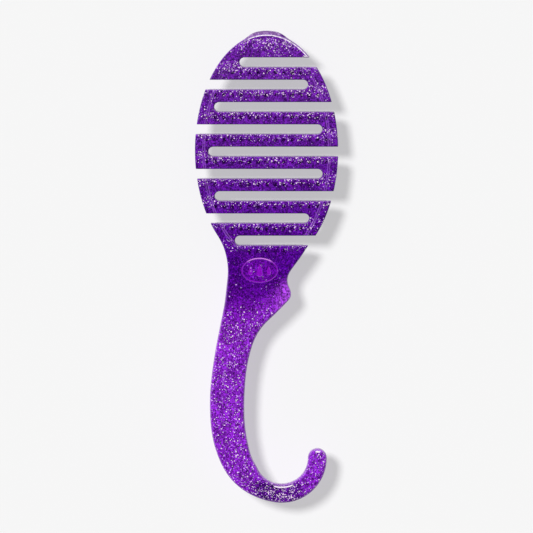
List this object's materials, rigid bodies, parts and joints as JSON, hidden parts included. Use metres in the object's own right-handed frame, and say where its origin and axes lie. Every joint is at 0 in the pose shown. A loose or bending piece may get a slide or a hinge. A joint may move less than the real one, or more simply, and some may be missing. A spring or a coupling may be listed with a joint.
{
  "type": "vented shower hair brush",
  "caption": "Flexible oval detangling brush head cut by serpentine vent slots, ball-rooted bristles, thumb rest and a curved handle ending in a hanging hook.",
  "frame": {"origin": "centre of the hanging hook's inner arc, half way through the thickness of the moulding", "axes": "+X to the hook's open end, +Y from the hook to the tip of the head, +Z out of the smooth back; the bristles point to -Z"},
  "size_m": [0.0731, 0.2431, 0.0205],
  "materials": {
    "glitter_plastic": "clear purple moulding with silver glitter",
    "bristle_nylon": "satin nylon"
  },
  "bodies": {
    "grip": {"handle_frame": "glitter_plastic", "web_09": "glitter_plastic"},
    "bar_01": {"bar_01": "glitter_plastic"},
    "bar_02": {"bar_02": "glitter_plastic", "web_01": "glitter_plastic"},
    "bar_03": {"bar_03": "glitter_plastic", "web_02": "glitter_plastic"},
    "bar_04": {"bar_04": "glitter_plastic", "web_03": "glitter_plastic"},
    "bar_05": {"bar_05": "glitter_plastic", "web_04": "glitter_plastic"},
    "bar_06": {"bar_06": "glitter_plastic", "web_05": "glitter_plastic"},
    "bar_07": {"bar_07": "glitter_plastic", "web_06": "glitter_plastic"},
    "bar_08": {"bar_08": "glitter_plastic", "web_07": "glitter_plastic"},
    "bar_09": {"bar_09": "glitter_plastic", "web_08": "glitter_plastic"},
    "bristles_01": {"bristle_row_01": "bristle_nylon"},
    "bristles_02": {"bristle_row_02": "bristle_nylon"},
    "bristles_03": {"bristle_row_03": "bristle_nylon"},
    "bristles_04": {"bristle_row_04": "bristle_nylon"},
    "bristles_05": {"bristle_row_05": "bristle_nylon"},
    "bristles_06": {"bristle_row_06": "bristle_nylon"},
    "bristles_07": {"bristle_row_07": "bristle_nylon"},
    "bristles_08": {"bristle_row_08": "bristle_nylon"},
    "bristles_09": {"bristle_row_09": "bristle_nylon"},
    "bristles_10": {"bristle_row_10": "bristle_nylon"}
  },
  "joints": [
    {"name": "flex_09", "type": "hinge", "parent": "grip", "child": "bar_09", "pos_m": [-0.00772, 0.11236, 0], "axis": [1, 0, 0], "range_deg": [-3, 3], "stiffness_Nm_per_rad": 0.12, "deforming": ["web_09"]},
    {"name": "flex_08", "type": "hinge", "parent": "bar_09", "child": "bar_08", "pos_m": [-0.00772, 0.12377, 0], "axis": [1, 0, 0], "range_deg": [-3, 3], "stiffness_Nm_per_rad": 0.12, "deforming": ["web_08"]},
    {"name": "flex_07", "type": "hinge", "parent": "bar_08", "child": "bar_07", "pos_m": [-0.00772, 0.13519, 0], "axis": [1, 0, 0], "range_deg": [-3, 3], "stiffness_Nm_per_rad": 0.12, "deforming": ["web_07"]},
    {"name": "flex_06", "type": "hinge", "parent": "bar_07", "child": "bar_06", "pos_m": [-0.00772, 0.14661, 0], "axis": [1, 0, 0], "range_deg": [-3, 3], "stiffness_Nm_per_rad": 0.12, "deforming": ["web_06"]},
    {"name": "flex_05", "type": "hinge", "parent": "bar_06", "child": "bar_05", "pos_m": [-0.00772, 0.15802, 0], "axis": [1, 0, 0], "range_deg": [-3, 3], "stiffness_Nm_per_rad": 0.12, "deforming": ["web_05"]},
    {"name": "flex_04", "type": "hinge", "parent": "bar_05", "child": "bar_04", "pos_m": [-0.00772, 0.16944, 0], "axis": [1, 0, 0], "range_deg": [-3, 3], "stiffness_Nm_per_rad": 0.12, "deforming": ["web_04"]},
    {"name": "flex_03", "type": "hinge", "parent": "bar_04", "child": "bar_03", "pos_m": [-0.00772, 0.18085, 0], "axis": [1, 0, 0], "range_deg": [-3, 3], "stiffness_Nm_per_rad": 0.12, "deforming": ["web_03"]},
    {"name": "flex_02", "type": "hinge", "parent": "bar_03", "child": "bar_02", "pos_m": [-0.00772, 0.19226, 0], "axis": [1, 0, 0], "range_deg": [-3, 3], "stiffness_Nm_per_rad": 0.12, "deforming": ["web_02"]},
    {"name": "flex_01", "type": "hinge", "parent": "bar_02", "child": "bar_01", "pos_m": [-0.00772, 0.20368, 0], "axis": [1, 0, 0], "range_deg": [-3, 3], "stiffness_Nm_per_rad": 0.12, "deforming": ["web_01"]},
    {"name": "lean_01", "type": "hinge", "parent": "bar_01", "child": "bristles_01", "pos_m": [-0.00772, 0.20939, -0.00145], "axis": [1, 0, 0], "range_deg": [-18, 18], "stiffness_Nm_per_rad": 0.006},
    {"name": "lean_02", "type": "hinge", "parent": "bar_02", "child": "bristles_02", "pos_m": [-0.00772, 0.19797, -0.00145], "axis": [1, 0, 0], "range_deg": [-18, 18], "stiffness_Nm_per_rad": 0.006},
    {"name": "lean_03", "type": "hinge", "parent": "bar_03", "child": "bristles_03", "pos_m": [-0.00772, 0.18656, -0.00145], "axis": [1, 0, 0], "range_deg": [-18, 18], "stiffness_Nm_per_rad": 0.006},
    {"name": "lean_04", "type": "hinge", "parent": "bar_04", "child": "bristles_04", "pos_m": [-0.00772, 0.17514, -0.00145], "axis": [1, 0, 0], "range_deg": [-18, 18], "stiffness_Nm_per_rad": 0.006},
    {"name": "lean_05", "type": "hinge", "parent": "bar_05", "child": "bristles_05", "pos_m": [-0.00772, 0.16373, -0.00145], "axis": [1, 0, 0], "range_deg": [-18, 18], "stiffness_Nm_per_rad": 0.006},
    {"name": "lean_06", "type": "hinge", "parent": "bar_06", "child": "bristles_06", "pos_m": [-0.00772, 0.15231, -0.00145], "axis": [1, 0, 0], "range_deg": [-18, 18], "stiffness_Nm_per_rad": 0.006},
    {"name": "lean_07", "type": "hinge", "parent": "bar_07", "child": "bristles_07", "pos_m": [-0.00772, 0.1409, -0.00145], "axis": [1, 0, 0], "range_deg": [-18, 18], "stiffness_Nm_per_rad": 0.006},
    {"name": "lean_08", "type": "hinge", "parent": "bar_08", "child": "bristles_08", "pos_m": [-0.00772, 0.12948, -0.00145], "axis": [1, 0, 0], "range_deg": [-18, 18], "stiffness_Nm_per_rad": 0.006},
    {"name": "lean_09", "type": "hinge", "parent": "bar_09", "child": "bristles_09", "pos_m": [-0.00772, 0.11807, -0.00145], "axis": [1, 0, 0], "range_deg": [-18, 18], "stiffness_Nm_per_rad": 0.006},
    {"name": "lean_10", "type": "hinge", "parent": "grip", "child": "bristles_10", "pos_m": [-0.00772, 0.10665, -0.00145], "axis": [1, 0, 0], "range_deg": [-18, 18], "stiffness_Nm_per_rad": 0.006}
  ],
  "couplings": [
    {"joint": "flex_08", "follows": "flex_09", "ratio": 1},
    {"joint": "flex_07", "follows": "flex_09", "ratio": 1},
    {"joint": "flex_06", "follows": "flex_09", "ratio": 1},
    {"joint": "flex_05", "follows": "flex_09", "ratio": 1},
    {"joint": "flex_04", "follows": "flex_09", "ratio": 1},
    {"joint": "flex_03", "follows": "flex_09", "ratio": 1},
    {"joint": "flex_02", "follows": "flex_09", "ratio": 1},
    {"joint": "flex_01", "follows": "flex_09", "ratio": 1},
    {"joint": "lean_01", "follows": "lean_05", "ratio": 1},
    {"joint": "lean_02", "follows": "lean_05", "ratio": 1},
    {"joint": "lean_03", "follows": "lean_05", "ratio": 1},
    {"joint": "lean_04", "follows": "lean_05", "ratio": 1},
    {"joint": "lean_06", "follows": "lean_05", "ratio": 1},
    {"joint": "lean_07", "follows": "lean_05", "ratio": 1},
    {"joint": "lean_08", "follows": "lean_05", "ratio": 1},
    {"joint": "lean_09", "follows": "lean_05", "ratio": 1},
    {"joint": "lean_10", "follows": "lean_05", "ratio": 1}
  ]
}
